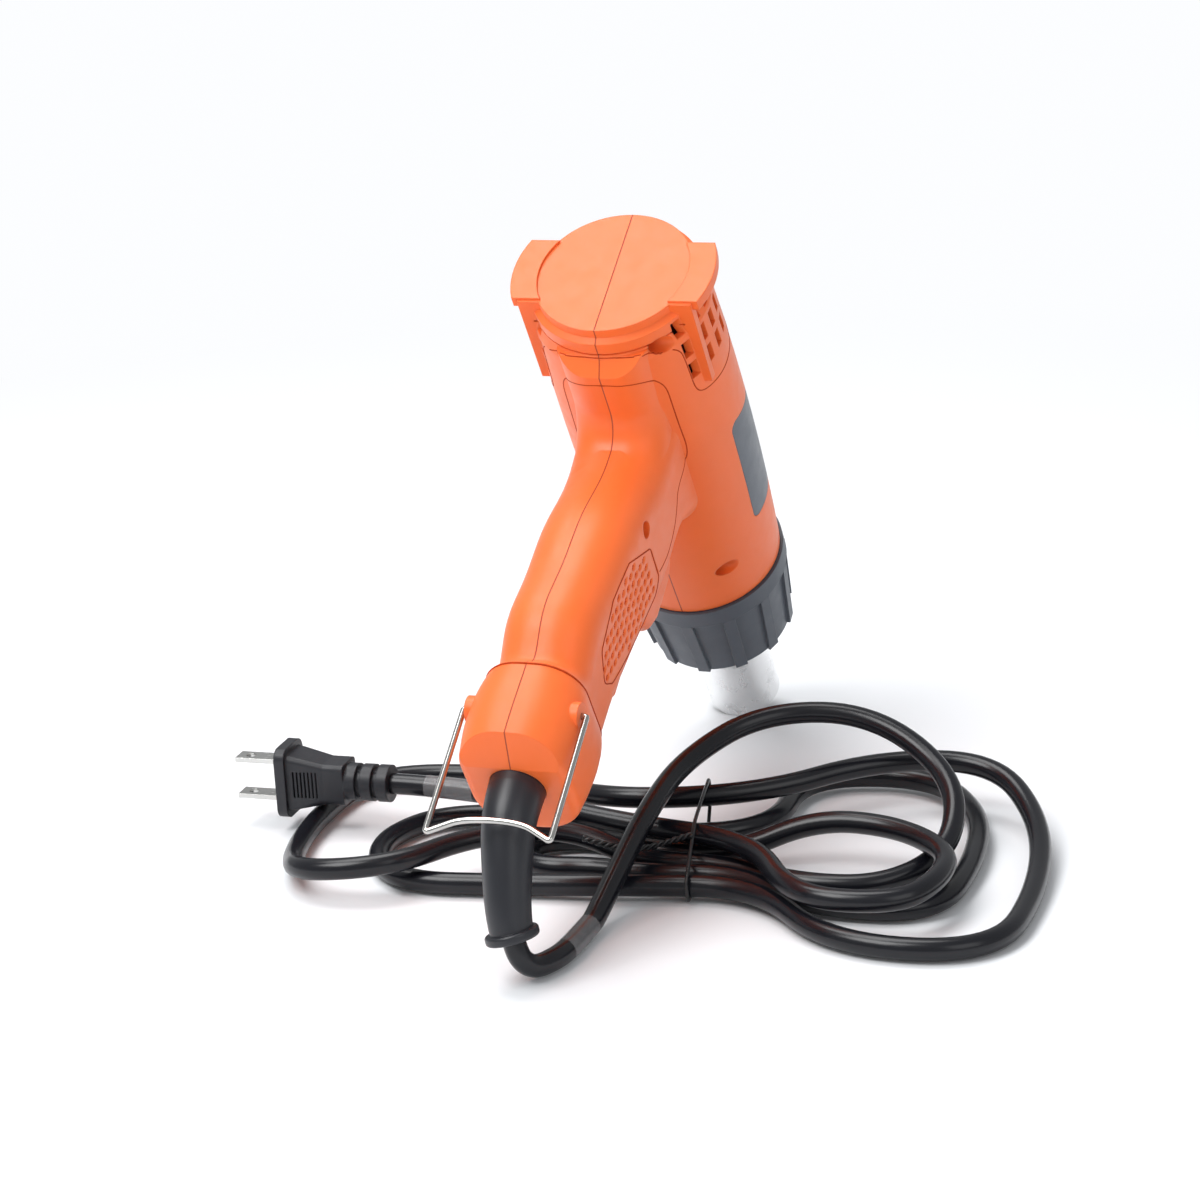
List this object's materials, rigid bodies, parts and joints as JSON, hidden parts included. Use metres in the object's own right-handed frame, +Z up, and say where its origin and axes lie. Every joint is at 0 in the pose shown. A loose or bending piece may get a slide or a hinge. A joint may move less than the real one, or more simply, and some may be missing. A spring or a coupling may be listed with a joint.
{
  "type": "pistol-grip heat tool",
  "caption": "Compact corded pistol-grip hot-air tool with a fluted nose collar, steel nozzle, wire bail and a tied mains lead.",
  "frame": {"origin": "on the surface that the tool stands on, under the middle of its own box, its lead left out", "axes": "+Z up, +X towards the nozzle in plan, +Y to the tool's left"},
  "size_m": [0.2647, 0.2753, 0.1977],
  "materials": {
    "orange_plastic": "fine satin texture",
    "slate_plastic": "satin",
    "label_grey": "satin film",
    "grip_pad_orange": "dimpled",
    "plug_black": "fine moulded texture",
    "blade_steel": "nickel plated",
    "tie_black": "smooth coated wire",
    "nozzle_steel": "bright drawn",
    "mica": "dull laminated",
    "heater_wire": "oxidised",
    "cutout_metal": "plain",
    "motor_steel": "zinc plated",
    "bush_bronze": "sintered",
    "shaft_steel": "ground",
    "fan_plastic": "plain",
    "shroud_plastic": "plain",
    "board": "phenolic",
    "switch_plastic": "smooth",
    "screw_steel": "black zinc",
    "clamp_plastic": "plain",
    "cord_black": "satin",
    "wire_insulation": "plain",
    "bail_wire": "bright",
    "relief_rubber": "satin"
  },
  "bodies": {
    "tool": {"housing_left": "orange_plastic", "housing_right": "orange_plastic", "nose_collar": "slate_plastic", "label_left": "label_grey", "label_right": "label_grey", "grip_pad_left": "grip_pad_orange", "grip_pad_right": "grip_pad_orange", "nozzle": "nozzle_steel", "heat_tube": "mica", "heater_mount": "mica", "heater_former": "mica", "heater_coil": "heater_wire", "thermal_cutout": "cutout_metal", "motor": "motor_steel", "motor_bushes": "bush_bronze", "fan_shroud": "shroud_plastic", "rectifier_board": "board", "switch_body": "switch_plastic", "housing_screws": "screw_steel", "clamp_screws": "screw_steel", "cord_clamp": "clamp_plastic", "cord_tail": "cord_black", "cord_lead": "cord_black", "cord_hank": "cord_black", "plug_body": "plug_black", "plug_blades": "blade_steel", "twist_tie": "tie_black", "supply_wires": "wire_insulation", "motor_wires": "wire_insulation", "strain_relief": "relief_rubber"},
    "bail": {"wire_bail": "bail_wire"},
    "rocker": {"switch_rocker": "switch_plastic"},
    "fan": {"motor_shaft": "shaft_steel", "fan_impeller": "fan_plastic"}
  },
  "joints": [
    {"name": "bail_pivot", "type": "hinge", "parent": "tool", "child": "bail", "pos_m": [-0.09463, 0, 0.07321], "axis": [0, 1, 0], "range_deg": [-5, 145]},
    {"name": "rocker_pivot", "type": "hinge", "parent": "tool", "child": "rocker", "pos_m": [-0.0352, 0, 0.07351], "axis": [0, 1, 0], "range_deg": [-10, 10]},
    {"name": "fan_spin", "type": "hinge", "parent": "tool", "child": "fan", "pos_m": [0.02369, 0, 0.15542], "axis": [0.5446, 0, -0.8387], "continuous": true}
  ]
}
